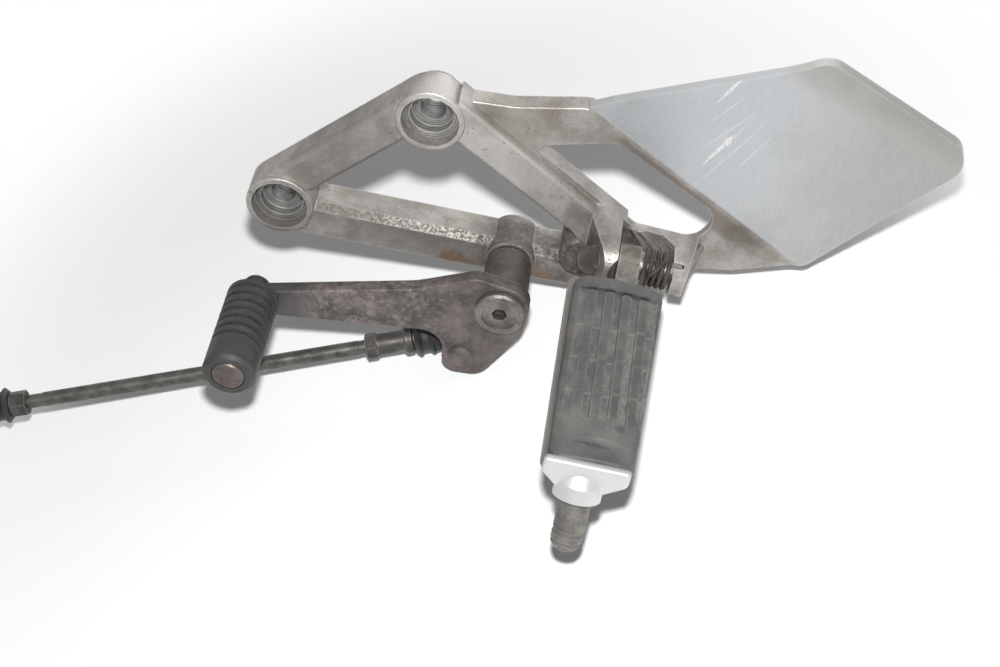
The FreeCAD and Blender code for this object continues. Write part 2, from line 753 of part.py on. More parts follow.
def peg_pin():
    r = pin_d / 2
    start = ear_front_x + pin_set
    end = ear_rear_x + pin_blind - 0.4 - start
    groove = tongue_x1 + 0.85 - start
    points = [(0, 0), (r - 0.5, 0), (r, 0.5), (r, groove), (r - 0.8, groove)]
    points += [(r - 0.8, groove + 0.9), (r, groove + 0.9), (r, end - 0.5), (r - 0.5, end), (0, end)]
    pin = turned(points)
    pin.Placement = FreeCAD.Placement(V(start, -pin_out, pin_z), FreeCAD.Rotation(V(0, 0, 1), V(1, 0, 0)))
    return pin


def pin_ring(offset, thick, inner, outer):
    x = tongue_x1 + offset
    ring = bar_x(pin_out, pin_z, outer, x, x + thick)
    return ring.cut(bar_x(pin_out, pin_z, inner, x - 1, x + thick + 1))


def pin_washer():
    return pin_ring(0.1, 0.8, pin_d + 2 * assembly, pin_d + 4)


def pin_clip():
    ring = pin_ring(1.0, 0.6, pin_d - 1.5, pin_d + 4)
    return ring.cut(block(0, 300, pin_out, pin_out + 20, pin_z - 3, pin_z + 3))


def return_spring():
    r = coil_r

    def leg(run, rise):
        reach = math.hypot(run, rise)
        return math.asin(r / reach) - math.atan2(rise, run), math.sqrt(reach ** 2 - r ** 2)

    seat = spring_wire / 2 + spring_seat
    held_lean, held_len = leg(peg_root - pin_out - 0.9, tray_z + seat - pin_z)
    fixed_lean, fixed_len = leg(gusset_drop - seat, gusset_up)
    turns = 4 + (held_lean + fixed_lean) / (2 * math.pi)
    x0 = tongue_x1 + spring_wire / 2 + 1.3
    height = ear_rear_x - spring_wire / 2 - 0.7 - x0
    climb = height / turns / (2 * math.pi)
    helix = Part.makeHelix(height / turns, height, r, 0, True)
    start = V(r, 0, 0)
    into = V(0, -r, climb)
    into.normalize()
    angle = -2 * math.pi * turns
    end = V(r * math.cos(angle), r * math.sin(angle), height)
    leave = V(r * math.sin(angle), -r * math.cos(angle), climb)
    leave.normalize()
    rest = start - into * held_len
    hook = end + leave * fixed_len
    path = Part.Wire([Part.makeLine(rest, start)] + helix.Edges + [Part.makeLine(end, hook)])
    section = Part.Wire(Part.makeCircle(spring_wire / 2, rest, into))
    body = path.makePipeShell([section], True, False)
    body.rotate(V(0, 0, 0), V(0, 0, 1), math.degrees(held_lean) - 90)
    turn = FreeCAD.Rotation(V(0, -1, 0), V(0, 0, -1), V(1, 0, 0), "ZXY")
    body.Placement = FreeCAD.Placement(V(x0, -pin_out, pin_z), turn).multiply(body.Placement)
    return body


os.makedirs("parts", exist_ok=True)
nodes = {
    "bracket": bracket(),
    "pivot_bolt": pivot_bolt(),
    "peg_pin": peg_pin(),
    "pin_washer": pin_washer(),
    "pin_clip": pin_clip(),
    "return_spring": return_spring(),
    "footpeg": footpeg(),
    "peg_rubber": peg_rubber(),
    "rubber_plate": rubber_plate(),
    "rubber_bolts": rubber_bolts(),
    "feeler": feeler(),
    "shift_lever": shift_lever(),
    "toe_pin": toe_pin(),
    "toe_rubber": toe_rubber(),
    "inner_seal": seal(collar_out + assembly, seal_t - 2 * assembly),
    "outer_seal": seal(tube_out + assembly, head_in - tube_out - 2 * assembly),
    "rear_ball_stud": rear_ball_stud(),
    "rear_joint": linked(joint_body(rear_shank, True)),
    "rear_boot": linked(boot(21.9 - boot_start)),
    "rear_lock_nut": linked(lock_nut(rear_shank + assembly, nut_t)),
    "link_rod": linked(link_rod()),
    "front_lock_nut": linked(lock_nut(link_len - front_shank - assembly - front_nut_t, front_nut_t)),
    "front_joint": linked(facing_rear(joint_body(front_shank, False))),
    "front_boot": linked(facing_rear(boot(21.9 - boot_start))),
    "front_ball_stud": linked(front_ball_stud()),
}
for name in nodes:
    nodes[name].exportStep("parts/" + name + ".step")
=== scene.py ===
import bpy
import math
from mathutils import Matrix, Vector


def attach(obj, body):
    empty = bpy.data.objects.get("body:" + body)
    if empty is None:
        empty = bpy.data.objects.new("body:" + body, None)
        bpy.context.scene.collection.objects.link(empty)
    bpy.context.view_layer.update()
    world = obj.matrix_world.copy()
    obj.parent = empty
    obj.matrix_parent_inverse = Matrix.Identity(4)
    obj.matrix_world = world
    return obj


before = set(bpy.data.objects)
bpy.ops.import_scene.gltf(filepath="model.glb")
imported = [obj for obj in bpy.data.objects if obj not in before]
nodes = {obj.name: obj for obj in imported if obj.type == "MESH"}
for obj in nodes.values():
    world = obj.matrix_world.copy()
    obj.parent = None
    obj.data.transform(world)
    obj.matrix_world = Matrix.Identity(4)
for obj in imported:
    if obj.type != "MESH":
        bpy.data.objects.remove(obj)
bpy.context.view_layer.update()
print("frame loaded:", len(nodes), "nodes")


# node helpers

def fill(tree, node, inputs):
    for key, value in inputs.items():
        if isinstance(value, bpy.types.NodeSocket):
            tree.links.new(value, node.inputs[key])
        else:
            node.inputs[key].default_value = value


def put(tree, kind, inputs=None, **props):
    node = tree.nodes.new(kind)
    for key, value in props.items():
        setattr(node, key, value)
    fill(tree, node, inputs or {})
    return node


def use(tree, group, **values):
    return put(tree, "ShaderNodeGroup", values, node_tree=group).outputs


def calc(tree, op, a, b=0.0, clamp=False):
    return put(tree, "ShaderNodeMath", {0: a, 1: b}, operation=op, use_clamp=clamp).outputs[0]


def times(tree, product, *others):
    for other in others:
        product = calc(tree, "MULTIPLY", product, other)
    return product


def plus(tree, value, mask, amount):
    return calc(tree, "ADD", value, times(tree, mask, amount))


def rest(tree, mask):  # what a mask leaves free
    return calc(tree, "SUBTRACT", 1.0, mask)


def strongest(tree, masks):
    top = masks[0]
    for mask in masks[1:]:
        top = calc(tree, "MAXIMUM", top, mask)
    return top


def vec(tree, op, a, b=(0, 0, 0)):
    node = put(tree, "ShaderNodeVectorMath", {0: a, 1: b}, operation=op)
    return node.outputs["Value"] if op in ("DOT_PRODUCT", "LENGTH", "DISTANCE") else node.outputs[0]


def fade(tree, value, low, high, start=0.0, end=1.0):
    inputs = {"Value": value, "From Min": low, "From Max": high, "To Min": start, "To Max": end}
    return put(tree, "ShaderNodeMapRange", inputs, interpolation_type="SMOOTHSTEP").outputs[0]


def ramp(tree, mask, start, end):
    return fade(tree, mask, 0.0, 1.0, start, end)


def nearTo(tree, value, at, low, high, start=0.0, end=1.0):
    off = calc(tree, "ABSOLUTE", calc(tree, "SUBTRACT", value, at))
    return fade(tree, off, low, high, start, end)


def rgba(colour):
    return colour if isinstance(colour, bpy.types.NodeSocket) else (*colour, 1.0)


def blendColour(tree, mask, a, b, mode="MIX"):
    inputs = {0: mask, 6: rgba(a), 7: rgba(b)}  # 6 and 7 are the node's two colour sockets
    return put(tree, "ShaderNodeMix", inputs, data_type="RGBA", blend_type=mode).outputs[2]


def tint(tree, base, colour, *masks):
    return blendColour(tree, times(tree, *masks), base, colour)


def noise(tree, where, scale, detail, rough):
    inputs = {"Vector": where, "Scale": scale, "Detail": detail, "Roughness": rough}
    return put(tree, "ShaderNodeTexNoise", inputs).outputs["Fac"]


def clouds(tree, where, scale, low, high, detail=3.0, rough=0.55, start=0.0, end=1.0):
    return fade(tree, noise(tree, where, scale, detail, rough), low, high, start, end)


def streaks(tree, where, stretch, **values):
    return clouds(tree, vec(tree, "MULTIPLY", where, stretch), 1.0, **values)


def place(tree):
    return put(tree, "ShaderNodeTexCoord").outputs["Object"]


def axes(tree, where):
    return put(tree, "ShaderNodeSeparateXYZ", {0: where}).outputs


def makeGroup(name, inputs, outputs):
    group = bpy.data.node_groups.new(name, "ShaderNodeTree")
    for label, value in inputs.items():
        kind = "NodeSocketVector" if isinstance(value, tuple) else "NodeSocketFloat"
        group.interface.new_socket(label, in_out="INPUT", socket_type=kind).default_value = value
    for label in outputs:
        group.interface.new_socket(label, in_out="OUTPUT", socket_type="NodeSocketFloat")
    return group, put(group, "NodeGroupInput").outputs, put(group, "NodeGroupOutput").inputs


# shared effects

grainLook = {  # each scale is a share of the group's own Scale
    "mottle": {"scale": 0.09, "detail": 6.0, "rough": 0.6, "low": 0.3, "high": 0.7},
    "rare": {"scale": 0.16, "detail": 2.0, "low": 0.56, "high": 0.66},
    "dots": {"scale": 0.75, "detail": 2.0, "rough": 0.8, "low": 0.5, "high": 0.66},
    "clumps": {"scale": 0.06, "detail": 4.0, "rough": 0.6, "low": 0.35, "high": 0.7, "start": 0.15},
}

pitLook = {"scale": 0.55, "size": (0.26, 0.10)}  # pits lie at the middle of some cells


def castGrainGroup():
    g, i, o = makeGroup("castGrain", {"Scale": 900.0}, ("Mottle", "Pits", "Specks", "Height"))
    where = place(g)
    layer = {}
    for name, look in grainLook.items():
        layer[name] = clouds(g, where, **{**look, "scale": times(g, i["Scale"], look["scale"])})
    cellScale = times(g, i["Scale"], pitLook["scale"])
    cells = put(g, "ShaderNodeTexVoronoi", {"Vector": where, "Scale": cellScale}).outputs["Distance"]
    g.links.new(layer["mottle"], o["Mottle"])
    g.links.new(times(g, fade(g, cells, *pitLook["size"]), layer["rare"]), o["Pits"])
    g.links.new(times(g, layer["dots"], layer["clumps"]), o["Specks"])
    g.links.new(noise(g, where, i["Scale"], 3.0, 0.55), o["Height"])
    return g


edgeWearLook = {
    "bend": (0.02, 0.2),
    "spots": {"scale": 260.0, "detail": 4.0, "low": 0.3, "high": 0.65},
}


def edgeWearGroup():
    g, i, o = makeGroup("edgeWear", {"Radius": 0.0012, "Breakup": 0.5}, ("Mask",))
    rounded = put(g, "ShaderNodeBevel", {"Radius": i["Radius"]}, samples=4).outputs[0]
    face = put(g, "ShaderNodeNewGeometry").outputs["Normal"]
    edge = fade(g, rest(g, vec(g, "DOT_PRODUCT", rounded, face)), *edgeWearLook["bend"])
    spots = clouds(g, place(g), **edgeWearLook["spots"])
    kept = rest(g, times(g, i["Breakup"], rest(g, spots)))
    g.links.new(times(g, edge, kept), o["Mask"])
    return g


creviceLook = {
    "uneven": {"scale": 220.0, "detail": 5.0, "low": 0.25, "high": 0.7, "start": 0.55, "end": 1.15},
}


# ambient occlusion mask of crevices and hollows; where a material darkens with it, that is painted shade
# along with grime
def creviceShadeGroup():
    g, i, o = makeGroup("creviceShade", {"Distance": 0.012, "Low": 0.25, "High": 0.8}, ("Mask",))
    openness = put(g, "ShaderNodeAmbientOcclusion", {"Distance": i["Distance"]}, samples=6).outputs["AO"]
    uneven = clouds(g, place(g), **creviceLook["uneven"])
    g.links.new(fade(g, times(g, rest(g, openness), uneven), i["Low"], i["High"]), o["Mask"])
    return g


patchLook = {"scale": 130.0, "detail": 5.0, "rough": 0.65, "core": 0.35}  # core is a share of the radius


def patchGroup():
    spot = {"Centre": (0.0, 0.0, 0.0), "Radius": 0.02, "Ragged": 0.01}
    g, i, o = makeGroup("patch", spot, ("Mask",))
    where = place(g)
    ragged = noise(g, where, patchLook["scale"], patchLook["detail"], patchLook["rough"])
    uneven = calc(g, "SUBTRACT", ragged, 0.5)
    far = plus(g, vec(g, "DISTANCE", where, i["Centre"]), uneven, i["Ragged"])
    g.links.new(fade(g, far, i["Radius"], times(g, i["Radius"], patchLook["core"])), o["Mask"])
    return g


strokeLook = {
    "taper": (0.5, 0.1, 0.35, 1.0),  # at the ends, at the middle, width there
    "core": 0.3,  # share of the width
    "broken": {"scale": 700.0, "low": 0.3, "high": 0.6, "start": 0.4},
}


def strokeGroup():
    line = {"Start": (0.0, 0.0, 0.0), "End": (0.1, 0.0, 0.0), "Width": 0.001}
    g, i, o = makeGroup("stroke", line, ("Mask",))
    where = place(g)
    along = vec(g, "SUBTRACT", i["End"], i["Start"])
    gone = vec(g, "SUBTRACT", where, i["Start"])
    square = vec(g, "DOT_PRODUCT", along, along)
    share = calc(g, "DIVIDE", vec(g, "DOT_PRODUCT", gone, along), square, clamp=True)
    near = put(g, "ShaderNodeVectorMath", {0: along, "Scale": share}, operation="SCALE").outputs[0]
    off = vec(g, "DISTANCE", gone, near)
    wide = times(g, i["Width"], nearTo(g, share, 0.5, *strokeLook["taper"]))
    broken = clouds(g, where, **strokeLook["broken"])
    g.links.new(times(g, fade(g, off, wide, times(g, wide, strokeLook["core"])), broken), o["Mask"])
    return g


turnedLook = {"lean": 0.7, "edge": 0.0004}  # rings also step along the bore's wall


def turnedRingsGroup():
    bore = {"Centre": (0.0, 0.0, 0.0), "Radius": 0.012, "Pitch": 0.0011}
    g, i, o = makeGroup("turnedRings", bore, ("Mask", "Rings"))
    where = place(g)
    flat = vec(g, "MULTIPLY", vec(g, "SUBTRACT", where, i["Centre"]), (1.0, 0.0, 1.0))
    far = vec(g, "LENGTH", flat)
    steps = calc(g, "DIVIDE", plus(g, far, axes(g, where)["Y"], turnedLook["lean"]), i["Pitch"])
    wave = calc(g, "SINE", times(g, steps, 2 * math.pi))
    g.links.new(fade(g, far, i["Radius"], calc(g, "SUBTRACT", i["Radius"], turnedLook["edge"])), o["Mask"])
    g.links.new(fade(g, wave, -1.0, 1.0), o["Rings"])
    return g


castGrain = castGrainGroup()
edgeWear = edgeWearGroup()
creviceShade = creviceShadeGroup()
patch = patchGroup()
stroke = strokeGroup()
turnedRings = turnedRingsGroup()
print("effect groups ready")


# material helpers

toneLook = {"level": 0.86}  # brightness of every colour against the lamps


def newMaterial(name):
    mat = bpy.data.materials.new(name)
    mat.use_nodes = True
    return mat, mat.node_tree, mat.node_tree.nodes["Principled BSDF"]


def spotMask(tree, centre, radius, ragged, *masks):
    return times(tree, use(tree, patch, Centre=centre, Radius=radius, Ragged=ragged)["Mask"], *masks)


def strokeMask(tree, start, end, width):
    return use(tree, stroke, Start=start, End=end, Width=width)["Mask"]


def coat(tree, bsdf, base, rough, metal, height, depth):
    level = toneLook["level"]
    toned = blendColour(tree, 1.0, base, (level, level, level), "MULTIPLY")
    relief = put(tree, "ShaderNodeBump", {"Height": height, "Distance": depth, "Strength": 1.0}).outputs[0]
    fill(tree, bsdf, {"Base Color": toned, "Roughness": rough, "Metallic": metal, "Normal": relief})


def dress(mat, *names):
    for name in names:
        for slot in nodes[name].material_slots:
            slot.material = mat


# bracket casting

castLook = {
    "warm": (0.345, 0.315, 0.285),
    "pale": (0.53, 0.505, 0.475),
    "guard": (0.555, 0.575, 0.595),
    "guardFar": (0.43, 0.43, 0.425),
    "lip": (0.47, 0.47, 0.44),
    "soot": (0.155, 0.135, 0.118),
    "brown": (0.205, 0.170, 0.138),
    "glintColour": (0.78, 0.74, 0.69),
    "shade": (0.215, 0.20, 0.18),
    "grimeAndShade": (0.062, 0.05, 0.042),
    "rust": (0.30, 0.165, 0.07),
    "bare": (0.74, 0.72, 0.69),
    "bore": (0.26, 0.27, 0.27),
    "pit": (0.10, 0.085, 0.07),
    "scratch": (0.93, 0.93, 0.92),
    "grain": {"Scale": 900.0},
    "wear": {"Radius": 0.0014, "Breakup": 0.45},
    "shadedCrevices": {"Distance": 0.012, "Low": 0.3, "High": 0.85},
    "strength": {
        "specks": 0.45, "guardStreaks": 0.12, "guardSpecks": 0.10, "lip": 0.7, "strip": 0.75,
        "slope": 0.9, "bores": 0.8, "rings": 0.5, "shadedCrevices": 0.7, "pits": 0.6, "wear": 0.75,
        "scratches": 0.85, "hairlines": 0.4,
    },
    "crease": (0.0908, -0.015, 0.0480),  # where the guard leaves the web
    "creaseAcross": (0.5001, 0.0, 0.8660),
    "creaseEdge": (-0.0003, 0.0009),
    "rimPoint": (0.1771, -0.010, 0.0883),  # on the guard's bent rim
    "rimAcross": (0.4083, 0.0, 0.9128),
    "lipEdge": (-0.0146, -0.0091),
    "guardClean": 0.75,  # how much less dirt the guard takes
    "brushed": {"stretch": (700.0, 60.0, 160.0), "detail": 4.0, "rough": 0.6, "low": 0.35, "high": 0.7},
    "farFrom": (0.150, 0.225),
    "farDrift": 0.012,
    "drift": {"scale": 34.0, "low": 0.35, "high": 0.65},
    "stripFrom": (-0.013, -0.009),  # brown strip along the crease: dirt and painted shade
    "stripTo": (-0.0004, -0.003),
    "stripAlong": (0.096, 0.112),
    "stripUp": (-0.012, 0.0),
    "slopeFacing": (0.0, -0.7071, 0.7071),  # grainy slope of the lower arm, facing up and out, where painted glints go
    "slopeTurn": (0.93, 0.985),
    "slopeUp": (-0.018, -0.022),
    "slopeAlong": (0.118, 0.108),
    "paintedGlints": {"scale": 850.0, "rough": 0.7, "low": 0.45, "high": 0.57},
    "paintedGlintsAlong": (-0.005, 0.035, 0.15, 1.0),  # from, to, least, most
    "speckle": {"scale": 480.0, "detail": 4.0, "rough": 0.7, "low": 0.3, "high": 0.62, "start": 0.65},
    "bolts": ((-0.0282, 0.0, -0.0301), (0.0282, 0.0, 0.0301)),
    "rough": (0.5, 0.4),
    "guardRough": -0.1,
    "greasyRough": 0.2,
    "slopeRough": 0.2,
    "metal": (0.62, 0.15),
    "slopeMetal": (1.0, 0.5),
    "pitDepth": 1.2,
    "guardSmooth": 0.7,
    "gougeDepth": 0.8,
    "ringHeight": 0.8,
    "relief": 0.00022,
    "tintEdge": 0.02,
    "paintedLightAndShade": (  # patches of painted shade and painted light, and one brown patch: centre, radius, colour, strength
        ((0.0, -0.016, 0.004), 0.036, "shade", 0.5),
        ((0.056, -0.016, 0.012), 0.032, "bare", 0.45),
        ((0.030, -0.020, 0.046), 0.018, "bare", 0.65),
        ((0.020, -0.014, -0.038), 0.030, "shade", 0.35),
        ((0.066, -0.012, 0.046), 0.026, "brown", 0.3),
        ((0.160, -0.014, 0.000), 0.040, "shade", 0.3),
    ),
    "greasy": (  # centre, radius, ragged edge, strength
        ((0.0719, -0.014, -0.0355), 0.024, 0.016, 0.85),
        ((0.0719, -0.028, -0.0355), 0.020, 0.014, 0.6),
        ((0.0985, -0.020, -0.027), 0.019, 0.010, 1.0),
        ((0.088, -0.012, -0.024), 0.016, 0.012, 0.9),
        ((0.092, -0.010, -0.040), 0.018, 0.014, 0.8),
        ((0.1050, -0.029, -0.0125), 0.014, 0.006, 1.0),
        ((0.122, -0.016, -0.020), 0.012, 0.010, 0.5),
        ((0.098, -0.021, -0.006), 0.012, 0.010, 0.45),
        ((0.166, -0.015, 0.003), 0.014, 0.012, 0.45),
        ((-0.028, -0.020, -0.046), 0.012, 0.010, 0.5),
    ),
    "rusty": (  # as greasy
        ((0.0475, -0.017, -0.044), 0.0075, 0.010, 0.6),
        ((0.056, -0.017, -0.0435), 0.005, 0.008, 0.35),
        ((0.087, -0.017, -0.043), 0.007, 0.01, 0.4),
    ),
    "scratches": (  # start, end, width
        ((0.1460, -0.0114, 0.0761), (0.1386, -0.0124, 0.0625), 0.0011),
        ((0.1478, -0.0131, 0.0466), (0.1399, -0.0143, 0.0318), 0.0013),
        ((0.1481, -0.0130, 0.0475), (0.1459, -0.0134, 0.0420), 0.0022),
    ),
    "hairlines": (  # as scratches
        ((0.1556, -0.0119, 0.0626), (0.1370, -0.0139, 0.0387), 0.0005),
        ((0.1606, -0.0119, 0.0589), (0.1377, -0.0151, 0.0185), 0.0004),
        ((0.1500, -0.0117, 0.0690), (0.1340, -0.0138, 0.0470), 0.0004),
        ((0.1660, -0.0117, 0.0560), (0.1520, -0.0140, 0.0300), 0.0004),
        ((0.1530, -0.0122, 0.0560), (0.1440, -0.0136, 0.0380), 0.0006),
    ),
}


def castAreas(t, where):
    look = castLook
    at = axes(t, where)
    across = vec(t, "DOT_PRODUCT", vec(t, "SUBTRACT", where, look["crease"]), look["creaseAcross"])
    fromRim = vec(t, "DOT_PRODUCT", vec(t, "SUBTRACT", where, look["rimPoint"]), look["rimAcross"])
    facing = vec(t, "DOT_PRODUCT", put(t, "ShaderNodeNewGeometry").outputs["Normal"], look["slopeFacing"])
    guard = fade(t, across, *look["creaseEdge"])
    strip = times(t, fade(t, across, *look["stripFrom"]), fade(t, across, *look["stripTo"]))
    strip = times(t, strip, fade(t, at["X"], *look["stripAlong"]), fade(t, at["Z"], *look["stripUp"]))
    slope = times(t, fade(t, facing, *look["slopeTurn"]), fade(t, at["Z"], *look["slopeUp"]))
    return {
        "along": at["X"],
        "guard": guard,
        "lip": fade(t, fromRim, *look["lipEdge"]),
        "free": rest(t, times(t, guard, look["guardClean"])),  # where dirt, grease, pits and the painted shade and light patches go
        "strip": strip,
        "slope": times(t, slope, fade(t, at["X"], *look["slopeAlong"])),
    }


def guardTone(t, where, area, specks):
    look = castLook
    strength = look["strength"]
    brushed = streaks(t, where, **look["brushed"])
    drift = clouds(t, where, **look["drift"])
    away = fade(t, plus(t, area["along"], drift, look["farDrift"]), *look["farFrom"])
    tone = blendColour(t, away, look["guard"], look["guardFar"])
    tone = tint(t, tone, look["bare"], brushed, strength["guardStreaks"])
    tone = tint(t, tone, look["soot"], specks, strength["guardSpecks"])
    # warmer tone and painted shade on the guard's bent rim
    return tint(t, tone, look["lip"], area["lip"], strength["lip"])


# painted glints and sheen: pale grains on dark, brighter further along the arm
def slopeGlintTone(t, where, along):
    paintedGlints = clouds(t, where, **castLook["paintedGlints"])
    bright = times(t, paintedGlints, fade(t, along, *castLook["paintedGlintsAlong"]))
    return blendColour(t, bright, castLook["soot"], castLook["glintColour"])


def castAlloy():
    look = castLook
    strength = look["strength"]
    mat, t, bsdf = newMaterial("castAlloy")
    where = place(t)
    grain = use(t, castGrain, **look["grain"])
    wear = use(t, edgeWear, **look["wear"])["Mask"]
    shadedCrevices = use(t, creviceShade, **look["shadedCrevices"])["Mask"]
    area = castAreas(t, where)
    guard = area["guard"]
    slope = area["slope"]
    turned = [use(t, turnedRings, Centre=centre) for centre in look["bolts"]]
    bores = strongest(t, [bore["Mask"] for bore in turned])
    rings = strongest(t, [times(t, bore["Mask"], bore["Rings"]) for bore in turned])
    greasy = strongest(t, [spotMask(t, *spot, area["free"]) for spot in look["greasy"]])
    greasy = times(t, greasy, clouds(t, where, **look["speckle"]))
    gouge = strongest(t, [strokeMask(t, *line) for line in look["scratches"]])

    base = blendColour(t, grain["Mottle"], look["warm"], look["pale"])
    base = tint(t, base, look["soot"], grain["Specks"], strength["specks"])
    base = tint(t, base, guardTone(t, where, area, grain["Specks"]), guard)
    # dirt and painted shade on the strip along the crease
    base = tint(t, base, look["brown"], area["strip"], strength["strip"])
    # painted glints on the lower arm's slope
    base = tint(t, base, slopeGlintTone(t, where, area["along"]), slope, strength["slope"])
    base = tint(t, base, look["bore"], bores, strength["bores"])
    base = tint(t, base, look["bare"], rings, grain["Mottle"], strength["rings"])
    # painted shade and painted light on the arms, boss and web
    for centre, radius, tone, much in look["paintedLightAndShade"]:
        base = tint(t, base, look[tone], spotMask(t, centre, radius, look["tintEdge"], much, area["free"]))
    # grime and painted shade in crevices, from ambient occlusion
    base = tint(t, base, look["grimeAndShade"], shadedCrevices, area["free"], strength["shadedCrevices"])
    base = tint(t, base, look["grimeAndShade"], greasy)
    for spot in look["rusty"]:
        base = tint(t, base, look["rust"], spotMask(t, *spot))
    base = tint(t, base, look["pit"], grain["Pits"], area["free"], strength["pits"])
    # pale edges: wear, and painted highlight on rims such as the guard's and the upper strut's
    base = tint(t, base, look["bare"], wear, strength["wear"])
    base = tint(t, base, look["scratch"], gouge, strength["scratches"])
    for line in look["hairlines"]:
        base = tint(t, base, look["scratch"], strokeMask(t, *line), strength["hairlines"])

    rough = plus(t, ramp(t, grain["Mottle"], *look["rough"]), guard, look["guardRough"])
    rough = plus(t, rough, greasy, look["greasyRough"])
    rough = plus(t, rough, slope, look["slopeRough"])
    metal = times(t, ramp(t, greasy, *look["metal"]), ramp(t, slope, *look["slopeMetal"]))
    height = plus(t, grain["Height"], grain["Pits"], -look["pitDepth"])
    height = times(t, height, rest(t, times(t, guard, look["guardSmooth"])))
    height = plus(t, height, gouge, -look["gougeDepth"])
    height = plus(t, height, rings, look["ringHeight"])
    coat(t, bsdf, base, rough, metal, height, look["relief"])
    dress(mat, "bracket")


# footpeg casting, polished at its tip

pegLook = {
    "cast": (0.34, 0.31, 0.285),
    "pale": (0.48, 0.455, 0.43),
    "tip": (0.76, 0.76, 0.76),
    "tray": (0.15, 0.142, 0.13),
    "soilAndShade": (0.105, 0.088, 0.072),
    "grimeAndShade": (0.07, 0.058, 0.05),
    "edge": (0.72, 0.70, 0.66),
    "soiledEdge": (0.62, 0.60, 0.56),
    "grain": {"Scale": 800.0},
    "wear": {"Radius": 0.001, "Breakup": 0.5},
    "shadedCrevices": {"Distance": 0.010, "Low": 0.25, "High": 0.8},
    "strength": {"shadedCrevices": 0.85, "edge": 0.8, "tray": 0.7, "soilAndShade": 0.85, "soiledEdge": 0.5, "tip": 0.95},
    "tipFrom": (-0.1520, -0.1550),
    "tipClean": 0.7,
    "rootFrom": (-0.050, -0.046),  # the tongue, between the tray and the bracket
    "soilAndShadeCloud": {"scale": 170.0, "detail": 6.0, "rough": 0.7, "low": 0.36, "high": 0.6, "start": 0.55},
    "rough": (0.48, 0.42),
    "rootRough": 0.25,
    "metal": (0.58, 0.2),
    "tipSmooth": 0.85,
    "relief": 0.0002,
}


def pegAlloy():
    look = pegLook
    strength = look["strength"]
    mat, t, bsdf = newMaterial("pegAlloy")
    where = place(t)
    grain = use(t, castGrain, **look["grain"])
    wear = use(t, edgeWear, **look["wear"])["Mask"]
    shadedCrevices = use(t, creviceShade, **look["shadedCrevices"])["Mask"]
    out = axes(t, where)["Y"]
    tip = fade(t, out, *look["tipFrom"])
    root = fade(t, out, *look["rootFrom"])
    soilAndShadeCloud = clouds(t, where, **look["soilAndShadeCloud"])

    base = blendColour(t, grain["Mottle"], look["cast"], look["pale"])
    # grime and painted shade in crevices, less on the polished tip
    base = tint(t, base, look["grimeAndShade"], shadedCrevices, plus(t, strength["shadedCrevices"], tip, -look["tipClean"]))
    base = tint(t, base, look["edge"], wear, strength["edge"])
    base = tint(t, base, look["tray"], rest(t, root), strength["tray"])
    # soil and painted shade on the tongue between the clevis ears
    base = tint(t, base, look["soilAndShade"], root, soilAndShadeCloud, strength["soilAndShade"])
    base = tint(t, base, look["soiledEdge"], wear, strength["soiledEdge"])
    base = tint(t, base, look["tip"], tip, strength["tip"])

    rough = plus(t, ramp(t, tip, *look["rough"]), root, look["rootRough"])
    height = times(t, grain["Height"], rest(t, times(t, tip, look["tipSmooth"])))
    coat(t, bsdf, base, rough, ramp(t, root, *look["metal"]), height, look["relief"])
    dress(mat, "footpeg")


# dark steel of the gear lever, worn pale along its edges

leverLook = {
    "dark": (0.075, 0.063, 0.060),
    "brown": (0.185, 0.155, 0.145),
    "scuff": (0.36, 0.32, 0.30),
    "edge": (0.40, 0.36, 0.33),
    "toe": (0.075, 0.075, 0.078),
    "tube": (0.052, 0.042, 0.038),
    "soot": (0.03, 0.026, 0.024),
    "grain": {"Scale": 1000.0},
    "wear": {"Radius": 0.0009, "Breakup": 0.6},
    "shadedCrevices": {"Distance": 0.008, "Low": 0.3, "High": 0.85},
    "strength": {
        "specks": 0.55, "tube": 0.6, "scuff": 0.14, "midScuff": 0.6, "toe": 0.7, "shadedCrevices": 0.6, "edge": 0.8,
    },
    "tubeFrom": (-0.050, -0.046),
    "scuffed": {"scale": 300.0, "detail": 8.0, "rough": 0.75, "low": 0.44, "high": 0.68},
    "midArm": ((0.018, -0.052, -0.044), 0.046, 0.03),  # centre, radius, ragged edge
    "nearToe": ((-0.026, -0.050, -0.055), 0.028, 0.012),
    "rough": (0.52, 0.4),
    "metal": (0.3, 0.6),
    "pitDepth": 0.8,
    "relief": 0.0002,
}


def leverSteel():
    look = leverLook
    strength = look["strength"]
    mat, t, bsdf = newMaterial("leverSteel")
    where = place(t)
    grain = use(t, castGrain, **look["grain"])
    wear = use(t, edgeWear, **look["wear"])["Mask"]
    shadedCrevices = use(t, creviceShade, **look["shadedCrevices"])["Mask"]
    tube = fade(t, axes(t, where)["Y"], *look["tubeFrom"])
    scuffs = plus(t, strength["scuff"], spotMask(t, *look["midArm"]), strength["midScuff"])
    scuffed = times(t, clouds(t, where, **look["scuffed"]), scuffs)

    base = blendColour(t, grain["Mottle"], look["dark"], look["brown"])
    base = tint(t, base, look["soot"], grain["Specks"], strength["specks"])
    base = tint(t, base, look["tube"], tube, strength["tube"])
    base = tint(t, base, look["scuff"], scuffed)
    base = tint(t, base, look["toe"], spotMask(t, *look["nearToe"]), strength["toe"])
    # soot and painted shade in crevices
    base = tint(t, base, look["soot"], shadedCrevices, strength["shadedCrevices"])
    base = tint(t, base, look["edge"], wear, strength["edge"])

    height = plus(t, grain["Height"], grain["Pits"], -look["pitDepth"])
    rough = ramp(t, scuffed, *look["rough"])
    coat(t, bsdf, base, rough, ramp(t, scuffed, *look["metal"]), height, look["relief"])
    dress(mat, "shift_lever", "rear_ball_stud")


# plain steel pieces share one recipe with their own colours

